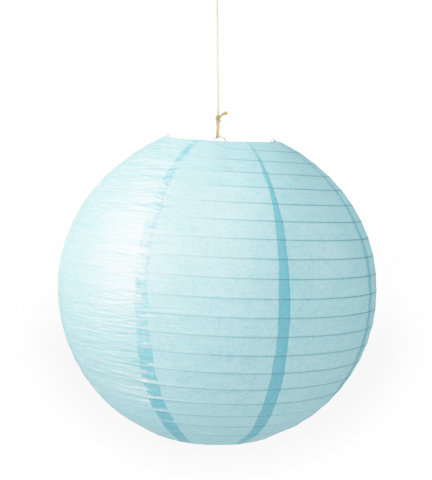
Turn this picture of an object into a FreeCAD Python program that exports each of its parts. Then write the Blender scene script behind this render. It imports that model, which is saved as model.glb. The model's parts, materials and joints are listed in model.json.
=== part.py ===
import FreeCAD, Part
import math
import os

from FreeCAD import Vector

# Round paper lantern, 400 mm across, hung from a jute twine.
# Millimetres and degrees, +Z up along the shade's axis. The origin is the centre of the top ring.
# The wire expander spans the XZ plane. The twine leans a little towards -X.

# ---------------------------------------------------------------- driving dimensions
SHADE_HALF_WIDTH = 200.0   # outer paper surface
SHADE_HALF_HEIGHT = 196.5  # of the full ellipse, as if it had no openings
RING_R = 74.5              # centre-line radius of the top and bottom rings
RING_WIRE = 1.0            # wire radius of the rings
RIB_WIRE = 0.45            # wire radius of the spiral rib
EXPANDER_WIRE = 0.85       # wire radius of the expander
TWINE = 1.1                # radius of the twine
PAPER = 0.20               # paper thickness
GAP = 0.30                 # glue line between two layers

# Depths below the outer surface of the outer gores.
OUTER_LAYER = (0.0, PAPER)
INNER_LAYER = (PAPER + GAP, 2 * PAPER + GAP)
UNDER_PAPER = 2 * PAPER + 2 * GAP
RIB_DEPTH = UNDER_PAPER + 0.1 + RIB_WIRE
RING_DEPTH = UNDER_PAPER + RING_WIRE

UP = Vector(0, 0, 1)
ORIGIN = Vector(0, 0, 0)


# ---------------------------------------------------------------- shade's ellipse
def shade_normal(shade_angle):
    """Outward unit normal (radial, up) of the ellipse at its parametric angle."""
    angle = math.radians(shade_angle)
    radial = math.cos(angle) / SHADE_HALF_WIDTH
    upward = math.sin(angle) / SHADE_HALF_HEIGHT
    length = math.hypot(radial, upward)
    return radial / length, upward / length


def on_shade(shade_angle, depth):
    """(radius, height above the equator) of a point at this depth below the outer surface."""
    angle = math.radians(shade_angle)
    radial, upward = shade_normal(shade_angle)
    return (SHADE_HALF_WIDTH * math.cos(angle) - depth * radial,
            SHADE_HALF_HEIGHT * math.sin(angle) - depth * upward)


def find_ring_angle():
    """Shade angle at which the ring fits under the paper, found by halving."""
    low, high = 50.0, 85.0
    for _ in range(60):
        middle = (low + high) / 2
        if on_shade(middle, RING_DEPTH)[0] > RING_R:
            low = middle
        else:
            high = middle
    return (low + high) / 2


RING_ANGLE = find_ring_angle()
RING_HEIGHT = on_shade(RING_ANGLE, RING_DEPTH)[1]   # ring plane from the equator
EQUATOR_Z = -RING_HEIGHT
BOTTOM_Z = EQUATOR_Z - RING_HEIGHT                  # plane of the bottom ring


# ---------------------------------------------------------------- helpers
def save(name, shape):
    if not shape.isValid():
        shape.fix(1e-4, 1e-4, 1e-3)
    shape.exportStep("parts/%s.step" % name)


def line(start, end):
    return Part.LineSegment(start, end).toShape()


def arc(start, middle, end):
    return Part.Arc(start, middle, end).toShape()


def polar(centre, radius, angle):
    """Point in the XZ plane about centre (x, z); the angle runs from +X towards +Z."""
    angle = math.radians(angle)
    return Vector(centre[0] + radius * math.cos(angle), 0, centre[1] + radius * math.sin(angle))


def arc_about(centre, radius, start, end):
    return arc(*[polar(centre, radius, a) for a in (start, (start + end) / 2, end)])


def spline(points):
    curve = Part.BSplineCurve()
    curve.interpolate(Points=points)
    return curve


def rod(start, end, radius):
    return Part.makeCylinder(radius, start.distanceToPoint(end), start, end - start)


def expander_wire(edges, start, direction):
    """Round wire along tangent-continuous edges."""
    pipe = Part.BRepOffsetAPI.MakePipeShell(Part.Wire(edges))
    pipe.setFrenetMode(False)
    pipe.add(Part.Wire([Part.Circle(start, direction, EXPANDER_WIRE).toShape()]))
    pipe.build()
    pipe.makeSolid()
    return pipe.shape()


# ---------------------------------------------------------------- rings
def make_ring(z):
    return Part.makeTorus(RING_R, RING_WIRE, Vector(0, 0, z), UP)


# ---------------------------------------------------------------- spiral rib
# One wire: it runs along the top ring, leaves it, winds down inside the paper
# and ends along the bottom ring. Places along it are counted in turns.
RIB_FROM, RIB_TO = -0.07, 18.45   # turns between which it is off the rings
RIB_RAMP = 0.11            # share of a turn in which it leaves or reaches a ring
RIB_LAP = 0.045            # share of a turn in which its end runs along the ring
RIB_START_ANGLE = 60.15    # shade angle at turn 0
RIB_FALL = 6.382           # fall in shade angle per turn
RIB_END_FALL = 1.226       # cubic correction of the shade angle towards the ends
RIB_MIDDLE_TURN = 9.5      # turn at which that correction is zero
RIB_START_DIRECTION = -112.5   # direction of turn 0 about the axis
RIB_RING_GAP = 0.35        # gap between the rib's end and the ring
RIB_STEP, RIB_FINE_STEP = 0.05, 0.011      # spacing of the points, in turns
RIB_FINE_AFTER, RIB_FINE_BEFORE = 0.01, 0.03   # fine spacing reaches this far past the ramps
RIB_PIECES = 37            # edges the curve is cut into
RIB_SIDES = 8              # an octagonal section keeps the long thin wire a light mesh


def ease(share):
    share = min(1.0, max(0.0, share))
    return share * share * (3 - 2 * share)


def rib_point(turn):
    correction = RIB_END_FALL * ((turn - RIB_MIDDLE_TURN) / RIB_MIDDLE_TURN) ** 3
    radius, height = on_shade(RIB_START_ANGLE - RIB_FALL * turn - correction, RIB_DEPTH)
    end_height = RING_HEIGHT - (RING_WIRE + RIB_RING_GAP + RIB_WIRE)
    for turns_off_ring, ring_height in ((turn - RIB_FROM, end_height),
                                        (RIB_TO - turn, -end_height)):
        share = ease(turns_off_ring / RIB_RAMP)
        radius = RING_R + (radius - RING_R) * share
        height = ring_height + (height - ring_height) * share
    direction = math.radians(RIB_START_DIRECTION + 360 * turn)
    return Vector(radius * math.cos(direction), radius * math.sin(direction), EQUATOR_Z + height)


def rib_turns():
    """Turns at which the rib is sampled, closer together near both rings."""
    turns = []
    turn = RIB_FROM - RIB_LAP
    while turn < RIB_TO + RIB_LAP - 1e-9:
        turns.append(turn)
        near_top = turn < RIB_FROM + RIB_RAMP + RIB_FINE_AFTER
        near_bottom = turn > RIB_TO - RIB_RAMP - RIB_FINE_BEFORE
        turn += RIB_FINE_STEP if near_top or near_bottom else RIB_STEP
    turns[-1] = RIB_TO + RIB_LAP
    return turns


def make_spiral_rib():
    points = [rib_point(turn) for turn in rib_turns()]
    curve = spline(points)
    first = curve.FirstParameter
    span = curve.LastParameter - first
    cuts = [first + span * i / RIB_PIECES for i in range(RIB_PIECES + 1)]
    edges = [curve.toShape(cuts[i], cuts[i + 1]) for i in range(RIB_PIECES)]

    ahead = edges[0].tangentAt(edges[0].FirstParameter)
    across = ahead.cross(UP).normalize()
    over = across.cross(ahead).normalize()
    corners = []
    for i in range(RIB_SIDES):
        angle = 2 * math.pi * (i + 0.5) / RIB_SIDES
        corners.append(points[0] + across * (RIB_WIRE * math.cos(angle))
                       + over * (RIB_WIRE * math.sin(angle)))

    pipe = Part.BRepOffsetAPI.MakePipeShell(Part.Wire(edges))
    pipe.setBiNormalMode(UP)
    pipe.add(Part.makePolygon(corners + [corners[0]]))
    pipe.build()
    pipe.makeSolid()
    return pipe.shape()


# ---------------------------------------------------------------- paper gores
# Odd-numbered gores are the inner layer and even ones the outer; neighbours overlap.
# Each end is folded over its ring and hangs inside it as a short flap.
GORES = 8
OVERLAP = 3.7              # angle by which two neighbouring gores overlap
FLAP = 6.0                 # how far an outer gore's flap reaches past the ring plane
INNER_FLAP = FLAP - 0.8    # the same for an inner gore
PROFILE_STEPS = 40         # spans between the points of a gore's profile
SLOT_INWARD, SLOT_OUTWARD = 7.0, 9.0   # reach of a hook slot from the ring's centre line
SLOT_WIDTH, SLOT_HEIGHT = 3.0, 16.0
HOOK_GORES = (0, GORES // 2 - 1, GORES // 2, GORES - 1)   # those on either side of +X and -X


def gore_side(depth, flap):
    """One face line of a gore in the XZ plane: its edges, first point and last point."""
    fold_r = RING_DEPTH - depth
    normal_radial, normal_up = shade_normal(RING_ANGLE)
    fold_angle = math.degrees(math.atan2(normal_up, normal_radial))
    stations = [on_shade(-RING_ANGLE + 2 * RING_ANGLE * i / PROFILE_STEPS, depth)
                for i in range(PROFILE_STEPS + 1)]
    bottom, top = (RING_R, -RING_HEIGHT), (RING_R, RING_HEIGHT)
    first = Vector(RING_R - fold_r, 0, -RING_HEIGHT + flap)
    last = Vector(RING_R - fold_r, 0, RING_HEIGHT - flap)
    edges = [
        line(first, polar(bottom, fold_r, 180.0)),
        arc_about(bottom, fold_r, 180.0, 360.0 - fold_angle),
        spline([Vector(radius, 0, height) for radius, height in stations]).toShape(),
        arc_about(top, fold_r, fold_angle, 180.0),
        line(polar(top, fold_r, 180.0), last),
    ]
    return edges, first, last


def hook_slots():
    """Room in the paper for the yoke's two end hooks."""
    return [Part.makeBox(SLOT_INWARD + SLOT_OUTWARD, SLOT_WIDTH, SLOT_HEIGHT,
                         Vector(x, -SLOT_WIDTH / 2, -SLOT_HEIGHT / 2))
            for x in (RING_R - SLOT_INWARD, -RING_R - SLOT_OUTWARD)]


def make_gore(index):
    layer, flap = (INNER_LAYER, INNER_FLAP) if index % 2 == 0 else (OUTER_LAYER, FLAP)
    direction = (index + 0.5) * 360.0 / GORES
    width = 360.0 / GORES + OVERLAP
    outer, outer_first, outer_last = gore_side(layer[0], flap)
    inner, inner_first, inner_last = gore_side(layer[1], flap)
    ends = [line(outer_last, inner_last)], [line(inner_first, outer_first)]
    outline = Part.Wire(Part.__sortEdges__(outer + ends[0] + inner + ends[1]))
    gore = Part.Face(outline).revolve(ORIGIN, UP, width)
    gore.rotate(ORIGIN, UP, direction - width / 2)
    gore.translate(Vector(0, 0, EQUATOR_Z))
    if index in HOOK_GORES:
        for slot in hook_slots():
            gore = gore.cut(slot)
    return gore


# ---------------------------------------------------------------- expander yoke
# A wire across the top opening: a hump for the twine, two eyes for the legs,
# and end hooks round the top ring.
HOOK_R = RING_WIRE + EXPANDER_WIRE + 0.05   # centre line of a hook, just clear of the ring
ARM_Z = -HOOK_R                 # the arms pass just under the ring
HOOK_TO = 60.0                  # angle at which the wire leaves the ring's outside
HOOK_RUN = 6.0                  # straight run from there up to the end eye
END_EYE_R = 2.3                 # centre-line radius of the end eyes
PIVOT_X = 61.0                  # leg pivots from the axis
EYE_R = 1.80                    # centre-line radius of the pivot eyes
EYE_OFFSET = 0.25               # shift between an eye's centre line and the wire's
PIVOT_Z = ARM_Z - EYE_R - EYE_OFFSET
HUMP_X = -4.5                   # the hump stands this far to one side of the axis
HUMP_TOP = 6.7                  # its centre line above the top ring
HUMP_R, HUMP_FILLET = 11.0, 6.0   # its top radius and side fillets


def mirrored(point):
    return Vector(-point.x, point.y, point.z)


def make_yoke():
    ring = (RING_R, 0)
    hook_start = polar(ring, HOOK_R, -90.0)
    hook_middle = polar(ring, HOOK_R, (HOOK_TO - 90.0) / 2)
    hook_end = polar(ring, HOOK_R, HOOK_TO)
    run_end = hook_end + polar((0, 0), HOOK_RUN, HOOK_TO + 90.0)
    end_eye = run_end + polar((0, 0), END_EYE_R - EYE_OFFSET, HOOK_TO)

    hump_z = HUMP_TOP - HUMP_R
    fillet_z = ARM_Z + HUMP_FILLET
    fillet_x = math.sqrt((HUMP_R + HUMP_FILLET) ** 2 - (fillet_z - hump_z) ** 2)
    join = math.degrees(math.atan2(fillet_z - hump_z, fillet_x))
    left, right = HUMP_X - fillet_x, HUMP_X + fillet_x

    start = mirrored(run_end)
    edges = [
        line(start, mirrored(hook_end)),
        arc(mirrored(hook_end), mirrored(hook_middle), mirrored(hook_start)),
        line(mirrored(hook_start), Vector(left, 0, ARM_Z)),
        arc_about((left, fillet_z), HUMP_FILLET, -90.0, -join),
        arc_about((HUMP_X, hump_z), HUMP_R, 180.0 - join, join),
        arc_about((right, fillet_z), HUMP_FILLET, -180.0 + join, -90.0),
        line(Vector(right, 0, ARM_Z), hook_start),
        arc(hook_start, hook_middle, hook_end),
        line(hook_end, run_end),
    ]
    yoke = expander_wire(edges, start, mirrored(hook_end) - start)
    for side in (-1, 1):
        for radius, x, z in ((EYE_R, PIVOT_X, PIVOT_Z), (END_EYE_R, end_eye.x, end_eye.z)):
            eye = Part.makeTorus(radius, EXPANDER_WIRE, Vector(side * x, 0, z), Vector(0, 1, 0))
            yoke = yoke.fuse(eye)
    return yoke


# ---------------------------------------------------------------- expander legs
# Each leg hangs from its eye by a bent pin, spreads to an elbow above the bottom ring
# and tapers in to stand inside it.
LEG_Y = 3.2                # a leg stands this far to the side of the yoke
PIN_BEND = 1.9             # bend radius at both ends of the pin
PIN_TAIL = 3.0             # straight end of the wire on the pin's far side
LEG_START = 6.0            # straight run below the pin
LEG_CORNER_DOWN = 8.0      # from there down to the corner where the leg starts to lean
FOOT_X = RING_R - RING_DEPTH - EXPANDER_WIRE - 0.15
FOOT_UP = 6.5              # the foot is upright from this far above the ring
FOOT_DOWN = 4.0            # and ends this far below it
ELBOW_UP, ELBOW_OUT = 22.0, 2.2   # elbow above the ring, and outside the foot
LEG_BENDS = (60.0, 26.0, 24.0)    # radii at the lean, the elbow and the foot


def rounded_path(corners, radii):
    """Lines through the corners, each inner corner rounded by a tangent arc."""
    path, previous = [], corners[0]
    for before, corner, after, radius in zip(corners, corners[1:], corners[2:], radii):
        back = (before - corner).normalize()
        ahead = (after - corner).normalize()
        half = math.acos(max(-1, min(1, back.dot(ahead)))) / 2
        trim = radius / math.tan(half)
        start, end = corner + back * trim, corner + ahead * trim
        bisector = (back + ahead).normalize()
        centre = corner + bisector * (radius / math.sin(half))
        path.append(line(previous, start))
        path.append(arc(start, centre - bisector * radius, end))
        previous = end
    path.append(line(previous, corners[-1]))
    return path


def make_right_leg():
    def pin_point(y, drop):
        return Vector(PIVOT_X, y, PIVOT_Z - drop)

    bend_mid = PIN_BEND * (1 - math.cos(math.radians(45)))
    tail_end = pin_point(-LEG_Y, PIN_BEND + PIN_TAIL)
    tail_top = pin_point(-LEG_Y, PIN_BEND)
    pin_start = pin_point(-LEG_Y + PIN_BEND, 0)
    pin_end = pin_point(LEG_Y - PIN_BEND, 0)
    leg_top = pin_point(LEG_Y, PIN_BEND)
    corners = [
        pin_point(LEG_Y, PIN_BEND + LEG_START),
        pin_point(LEG_Y, PIN_BEND + LEG_START + LEG_CORNER_DOWN),
        Vector(FOOT_X + ELBOW_OUT, LEG_Y, BOTTOM_Z + ELBOW_UP),
        Vector(FOOT_X, LEG_Y, BOTTOM_Z + FOOT_UP),
        Vector(FOOT_X, LEG_Y, BOTTOM_Z - FOOT_DOWN),
    ]
    edges = [
        line(tail_end, tail_top),
        arc(tail_top, pin_point(-LEG_Y + bend_mid, bend_mid), pin_start),
        line(pin_start, pin_end),
        arc(pin_end, pin_point(LEG_Y - bend_mid, bend_mid), leg_top),
        line(leg_top, corners[0]),
    ]
    leg = expander_wire(edges + rounded_path(corners, LEG_BENDS), tail_end, UP)
    for end in (corners[-1], tail_end):
        leg = leg.fuse(Part.makeSphere(EXPANDER_WIRE, end))
    return leg.removeSplitter()


# ---------------------------------------------------------------- twine
# Drawn upright on the axis, then leaned about the hump's top and moved over to it.
LEAN = 2.5                      # angle between the twine and the shade's axis
HANG_Z = 240.0                  # hanging point: inner top of the loop
LOOP_R = 7.0                    # inner radius of the loop's top
LOOP_KNOT_Z = HANG_Z - 31.0     # centre of the loop's knot
LOOP_FOOT_X, LOOP_FOOT_UP = 1.1, 3.2   # the loop's strands end here from the knot's centre
TIE_KNOT_Z = 31.0               # centre of the lower knot
TIE_KNOT_HALF = 5.3             # its half height
SLUB_Z = 156.0                  # centre of the small knot between them
BIGHT_R = EXPANDER_WIRE + TWINE + 0.22   # centre line of the turn under the hump
CUP_R = TWINE + 0.12            # cups in the knots that take the strand's round ends
STRAND_FROM = TIE_KNOT_Z + TIE_KNOT_HALF + 0.2 + TWINE   # centres of those round ends
STRAND_TO = LOOP_KNOT_Z - 4.6 - TWINE
HUMP = Vector(0, 0, HUMP_TOP)


def knot(z, half_height, radius, end_radius):
    """A round bulge about the axis, with flat ends."""
    bottom = Vector(0, 0, -half_height)
    bottom_rim = Vector(end_radius, 0, -half_height)
    top_rim = Vector(end_radius, 0, half_height)
    top = Vector(0, 0, half_height)
    outline = Part.Wire([line(bottom, bottom_rim),
                         arc(bottom_rim, Vector(radius, 0, 0), top_rim),
                         line(top_rim, top), line(top, bottom)])
    solid = Part.Face(outline).revolve(ORIGIN, UP, 360)
    solid.translate(Vector(0, 0, z))
    return solid


def leaned(shape):
    shape = shape.removeSplitter()
    shape.rotate(HUMP, Vector(0, -1, 0), LEAN)
    shape.translate(Vector(HUMP_X, 0, 0))
    return shape


def make_tie():
    """Twine turned under the hump, its two strands up to a knot, and a short tail."""
    bight = Part.makeTorus(BIGHT_R, TWINE, HUMP, Vector(1, 0, 0))
    bight = bight.common(Part.makeBox(40, 40, 40, Vector(-20, -20, HUMP_TOP - 40)))
    tie = knot(TIE_KNOT_Z, TIE_KNOT_HALF, 3.2, 1.6)
    for side in (-1, 1):
        foot = Vector(0, side * BIGHT_R, HUMP_TOP)
        head = Vector(0, side * 1.0, TIE_KNOT_Z - TIE_KNOT_HALF + 1.0)
        tie = tie.fuse(rod(foot, head, TWINE))
        tie = tie.fuse(Part.makeSphere(TWINE, foot))
    tie = tie.fuse(bight)
    tail_start = Vector(1.0, 0, TIE_KNOT_Z + 1.5)
    tail_end = Vector(9.4, 0, TIE_KNOT_Z + 8.2)
    tail_length = tail_start.distanceToPoint(tail_end)
    tie = tie.fuse(Part.makeCone(TWINE, 1.7, tail_length, tail_start, tail_end - tail_start))
    return leaned(tie.cut(Part.makeSphere(CUP_R, Vector(0, 0, STRAND_FROM))))


def make_strand():
    start, end = Vector(0, 0, STRAND_FROM), Vector(0, 0, STRAND_TO)
    strand = Part.makeCylinder(TWINE, STRAND_TO - STRAND_FROM, start)
    for centre in (start, end):
        strand = strand.fuse(Part.makeSphere(TWINE, centre))
    return leaned(strand.fuse(knot(SLUB_Z, 3.4, 2.1, 1.2)))


def make_hanging_loop():
    centre_r = LOOP_R + TWINE
    centre_z = HANG_Z - LOOP_R
    top_half = Part.makeTorus(centre_r, TWINE, Vector(0, 0, centre_z), Vector(0, 1, 0))
    top_half = top_half.common(Part.makeBox(60, 60, 60, Vector(-30, -30, centre_z)))
    loop = knot(LOOP_KNOT_Z, 4.4, 3.1, 1.6)
    loop = loop.fuse(top_half)
    for side in (-1, 1):
        head = Vector(side * centre_r, 0, centre_z)
        foot = Vector(side * LOOP_FOOT_X, 0, LOOP_KNOT_Z + LOOP_FOOT_UP)
        loop = loop.fuse(rod(head, foot, TWINE))
        loop = loop.fuse(Part.makeSphere(TWINE, head))
    return leaned(loop.cut(Part.makeSphere(CUP_R, Vector(0, 0, STRAND_TO))))


# ---------------------------------------------------------------- build
os.makedirs("parts", exist_ok=True)

save("top_ring", make_ring(0.0))
save("bottom_ring", make_ring(BOTTOM_Z))
save("spiral_rib", make_spiral_rib())
for i in range(GORES):
    save("paper_gore_%d" % (i + 1), make_gore(i))
save("expander_yoke", make_yoke())

right_leg = make_right_leg()
save("right_leg", right_leg)
left_leg = right_leg.copy()
left_leg.rotate(ORIGIN, UP, 180)
save("left_leg", left_leg)

save("twine_tie", make_tie())
save("hanging_twine", make_strand())
save("hanging_loop", make_hanging_loop())
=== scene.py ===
# Round blue rice-paper lantern hung on jute twine. Eight paper gores cover a spiral rib wire
# between a top and a bottom ring; a steel expander spans the shade along X and carries the twine.
# The shade's axis is Z. Sizes are mm unless noted; MM turns them into metres.
# phi is the direction round the shade in degrees from +X, t the angle above its equator.
# Left, right and front are as the camera sees them, from direction CAM_PHI, near -Y.
import bmesh
import bpy
import json
import math
import numpy as np
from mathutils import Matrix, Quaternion, Vector


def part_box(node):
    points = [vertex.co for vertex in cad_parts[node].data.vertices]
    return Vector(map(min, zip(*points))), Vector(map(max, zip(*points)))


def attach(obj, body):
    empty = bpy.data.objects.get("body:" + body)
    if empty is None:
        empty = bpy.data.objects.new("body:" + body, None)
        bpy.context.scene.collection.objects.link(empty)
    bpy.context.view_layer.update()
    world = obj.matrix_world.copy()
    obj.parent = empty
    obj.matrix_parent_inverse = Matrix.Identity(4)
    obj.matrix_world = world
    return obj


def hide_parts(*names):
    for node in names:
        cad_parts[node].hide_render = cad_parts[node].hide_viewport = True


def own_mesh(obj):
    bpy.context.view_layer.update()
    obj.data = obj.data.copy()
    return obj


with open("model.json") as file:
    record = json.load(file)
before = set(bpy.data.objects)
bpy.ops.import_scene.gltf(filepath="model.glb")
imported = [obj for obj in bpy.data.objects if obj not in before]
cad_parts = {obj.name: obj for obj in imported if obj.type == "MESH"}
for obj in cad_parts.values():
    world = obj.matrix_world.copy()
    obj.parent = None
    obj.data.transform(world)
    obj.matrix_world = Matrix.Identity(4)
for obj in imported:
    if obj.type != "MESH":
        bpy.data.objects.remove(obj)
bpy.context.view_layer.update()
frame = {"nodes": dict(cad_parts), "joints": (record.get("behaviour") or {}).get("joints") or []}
MM = 0.001

# ---------------------------------------------------------------- sizes read from the frame
top_lo, top_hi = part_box("top_ring")
bottom_lo, bottom_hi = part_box("bottom_ring")
RING_WIRE = (top_hi.z - top_lo.z) / 2 / MM            # radius of the ring's wire
RING_R = (top_hi.x - top_lo.x) / 2 / MM - RING_WIRE
Z_TOP = (top_lo.z + top_hi.z) / 2 / MM
Z_BOT = (bottom_lo.z + bottom_hi.z) / 2 / MM
Z_MID = (Z_TOP + Z_BOT) / 2
RING_H = (Z_TOP - Z_BOT) / 2

# the twine turns under the yoke's hump and its lengths are tied together at the joints
JOINTS = {joint["name"]: joint for joint in frame["joints"]}
HUMP, TIE, LOOP = (np.array(JOINTS[name]["pos_m"], float) / MM
                   for name in ("lantern_sway", "lantern_spin", "string_swing"))
UP = np.array(JOINTS["lantern_spin"]["axis"], float)
UP /= np.linalg.norm(UP)
ACROSS_Y = np.array([0.0, 1.0, 0.0])
ACROSS_X = np.cross(ACROSS_Y, UP)

# ---------------------------------------------------------------- design sizes
SHADE_A, SHADE_B = 200.0, 196.5      # half width and half height of the shade's ellipse
RING_INSET = 2.0                     # depth of the ring's centre line inside the paper
PAPER_THICK = 0.16
GORES = 8
GORE_ANGLE = 360.0 / GORES
BANDS = 20                           # strips of paper between turns of the rib
EDGE_TRIM = 0.35                     # degrees the gores stop short of the ring
# rib: angle at turn 0, fall per turn, cubic part of the fall, and direction at turn 0
RIB_T0, RIB_STEP, RIB_CUBIC, RIB_PHI0 = 60.15, 6.382, 1.226, -112.5
RIB_HALF_TURNS = 9.5
RIB_FROM, RIB_TO, RIB_RAMP = -0.07, 18.45, 0.11      # turns: start, end, run up to a ring
RIB_LAP = 0.045                      # turns the rib goes on past its ends
RIB_WIRE = 0.45
RIB_INSET = 0.75 + RIB_WIRE
RIB_RING_GAP = 0.8                   # between the ring's wire and the centre of the rib
MIN_RADIUS = 40.0                    # keeps sheet distances finite towards the poles

CAM_PHI = -110.5
FRONT = np.array([math.cos(math.radians(CAM_PHI)), math.sin(math.radians(CAM_PHI)), 0.0])
RIGHT = np.array([-FRONT[1], FRONT[0], 0.0])

# seams by number: seam k lies at k * GORE_ANGLE
FAR_LEFT, FRONT_LEFT, FRONT_RIGHT, FAR_RIGHT = 4, 5, 6, 7

# Seam tables: shade angles, then the value at each; None holds the other seams.
# half width of the glued overlap, mm
LAP_HALF = {
    FRONT_LEFT: ([-70, -55, -45, -30, -18, -5, 20, 35, 52, 65],
                 [6.6, 8.8, 9.8, 10.0, 9.2, 8.0, 8.2, 6.8, 5.0, 4.2]),
    FRONT_RIGHT: ([-70, -55, -42, -30, -14, 0, 13, 25, 40, 52, 65],
                  [6.2, 6.8, 7.8, 7.8, 7.4, 6.7, 6.3, 4.7, 2.9, 2.1, 1.7]),
    None: ([-70, -45, 0, 20, 45, 60, 70], [5.2, 6.2, 6.2, 5.6, 4.2, 2.9, 2.4]),
}
# shift of the seam to the right, mm
SEAM_SHIFT = {
    FRONT_RIGHT: ([-70, -55, -47, -33, -18, -11, -4, 4, 20, 40, 55, 70],
                  [5.6, 6.6, 6.6, 5.7, 4.9, 4.6, 4.1, 3.3, 3.3, 3.4, 3.9, 3.6]),
    FAR_RIGHT: ([-70, -40, -15, 10], [6.0, 6.5, 3.5, 0.0]),
    FRONT_LEFT: ([-68, -62, -55, -45, -35, -25, -12, 0, 9, 16],
                 [2.0, 3.6, 5.4, 6.4, 4.8, 3.0, 2.2, 1.8, 1.0, 0.0]),
}
# how strongly the double layer shows, 0 to 1
SEAM_SHADE = {
    FRONT_LEFT: ([-70, -63, -56, -45, -30, -20, -10, 0, 10, 25, 36, 46, 56, 70],
                 [0.45, 0.75, 0.95, 0.95, 0.80, 0.68, 0.60, 0.52, 0.48, 0.48, 0.50, 0.60,
                  0.68, 0.68]),
    FAR_LEFT: ([-70, -30, 0, 70], [0.7, 0.4, 0.12, 0.12]),
    FAR_RIGHT: ([-70, -20, 40, 70], [0.8, 0.78, 0.66, 0.5]),
    FRONT_RIGHT: ([-70, -63, -56, 38, 50, 58, 70], [0.45, 0.75, 1.0, 1.0, 0.85, 0.55, 0.4]),
    None: ([-70, 40, 58, 70], [1.0, 1.0, 0.85, 0.7]),
}


# ---------------------------------------------------------------- small helpers
def srgb(red, green, blue):
    """sRGB 0-255 to a linear colour."""
    def channel(value):
        value = value / 255.0
        return value / 12.92 if value <= 0.04045 else ((value + 0.055) / 1.055) ** 2.4
    return (channel(red), channel(green), channel(blue), 1.0)


def smooth01(x):
    x = np.clip(x, 0, 1)
    return x * x * (3 - 2 * x)


def ease(value, start, width):
    """Smooth 0 to 1 as value goes from start to start + width; a negative width runs down."""
    return smooth01((value - start) / width)


def bell(value, centre, width):
    return np.exp(-((value - centre) / width) ** 2)


def wrap180(angle):
    return (angle + 180.0) % 360.0 - 180.0


def rel_az(phi):
    """Direction round the shade measured from the front, positive to the right."""
    return wrap180(phi - CAM_PHI)


def shade_smooth(mesh):
    mesh.polygons.foreach_set("use_smooth", np.ones(len(mesh.polygons), bool))


def mesh_object(name, verts, faces, material, attrs=None):
    """Smooth-shaded object from verts in metres; attrs are per point, numbers or vectors."""
    mesh = bpy.data.meshes.new(name)
    mesh.from_pydata(np.asarray(verts).tolist(), [], faces)
    for key, value in (attrs or {}).items():
        value = np.asarray(value, np.float32)
        if value.ndim == 2:
            layer = mesh.attributes.new(key, "FLOAT_VECTOR", "POINT")
            layer.data.foreach_set("vector", value.ravel())
        else:
            layer = mesh.attributes.new(key, "FLOAT", "POINT")
            layer.data.foreach_set("value", np.full(len(mesh.vertices), value, np.float32))
    shade_smooth(mesh)
    mesh.materials.append(material)
    mesh.update()
    obj = bpy.data.objects.new(name, mesh)
    bpy.context.scene.collection.objects.link(obj)
    return obj


def fit_collapsing(obj, part):
    """The piece rides the head with a mesh of its own, in place of its hidden CAD part."""
    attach(obj, "head")
    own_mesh(obj)
    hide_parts(part)


# ---------------------------------------------------------------- shade surface
def on_shade(t, depth):
    """(radius, height from the equator) at shade angle t, depth inside the outer surface."""
    cos, sin = np.cos(np.radians(t)), np.sin(np.radians(t))
    normal_r, normal_z = cos / SHADE_A, sin / SHADE_B
    length = np.hypot(normal_r, normal_z)
    return SHADE_A * cos - depth * normal_r / length, SHADE_B * sin - depth * normal_z / length


def sheet_x(phi):
    """Distance round the equator."""
    return np.radians(phi) * SHADE_A


def sheet_y(t):
    """Distance up the shade from the equator."""
    return SHADE_B * np.radians(t)


def radius_at(t):
    return np.maximum(on_shade(t, 0.0)[0], MIN_RADIUS)


def from_seam(k, phi, t):
    """Distance round the shade from the middle of seam k."""
    return np.radians(wrap180(phi - GORE_ANGLE * (k % GORES))) * radius_at(t)


def t_of_u(u):
    """Shade angle of the rib at turn u."""
    past_middle = (u - RIB_HALF_TURNS) / RIB_HALF_TURNS
    return RIB_T0 - RIB_STEP * u - RIB_CUBIC * past_middle ** 3


TURN_GRID = np.linspace(-3.0, 22.0, 5001)
ANGLE_GRID = t_of_u(TURN_GRID)


def u_of_t(t):
    return np.interp(-t, -ANGLE_GRID, TURN_GRID)


def ring_angle():
    """Shade angle of the ring, found by bisection."""
    low, high = 50.0, 85.0
    for _ in range(50):
        middle = (low + high) / 2
        if on_shade(middle, RING_INSET)[0] > RING_R:
            low = middle
        else:
            high = middle
    return (low + high) / 2


T_RING = ring_angle()

# ---------------------------------------------------------------- seeded noise on the shade
PERIOD = 2 * math.pi * SHADE_A


def cell_and_blend(position):
    cell = np.floor(position).astype(int)
    part = position - cell
    return cell, part * part * part * (part * (6 * part - 15) + 10)


class Noise:
    """Smooth value noise on the sheet; x is periodic with the shade's girth."""
    ROWS = 512

    def __init__(self, seed, cell_x, cell_y):
        self.columns = max(3, int(round(PERIOD / cell_x)))
        self.cell_x = PERIOD / self.columns
        self.cell_y = cell_y
        shape = (self.columns, self.ROWS)
        self.values = np.random.RandomState(seed).uniform(-1, 1, shape)

    def __call__(self, x, y):
        column, blend_x = cell_and_blend(x / self.cell_x)
        row, blend_y = cell_and_blend(y / self.cell_y + self.ROWS / 2)

        def row_value(row):
            left = self.values[column % self.columns, row % self.ROWS]
            right = self.values[(column + 1) % self.columns, row % self.ROWS]
            return left * (1 - blend_x) + right * blend_x

        return row_value(row) * (1 - blend_y) + row_value(row + 1) * blend_y


# seed, cell width, cell height
warp_coarse = Noise(11, 70, 30)
warp_fine = Noise(12, 22, 14)
crinkle_coarse = Noise(13, 46, 5.5)
crinkle_fine = Noise(14, 26, 3.4)
crumple = Noise(15, 13, 8)
swell = Noise(16, 110, 60)
edge_coarse = Noise(17, 50, 16)
edge_fine = Noise(18, 50, 6)
patches = Noise(19, 90, 60)
radial_wave = Noise(20, 15, 60)
pucker_coarse = Noise(31, 7.0, 4.4)
pucker_fine = Noise(32, 4.0, 2.9)
seam_bands = Noise(33, 400, 7.0)
sag = Noise(34, 60, 25)


# ---------------------------------------------------------------- seams
def half_strip(k, t):
    """Half width of the glued overlap of seam k."""
    return np.interp(t, *LAP_HALF.get(k % GORES, LAP_HALF[None]))


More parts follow.
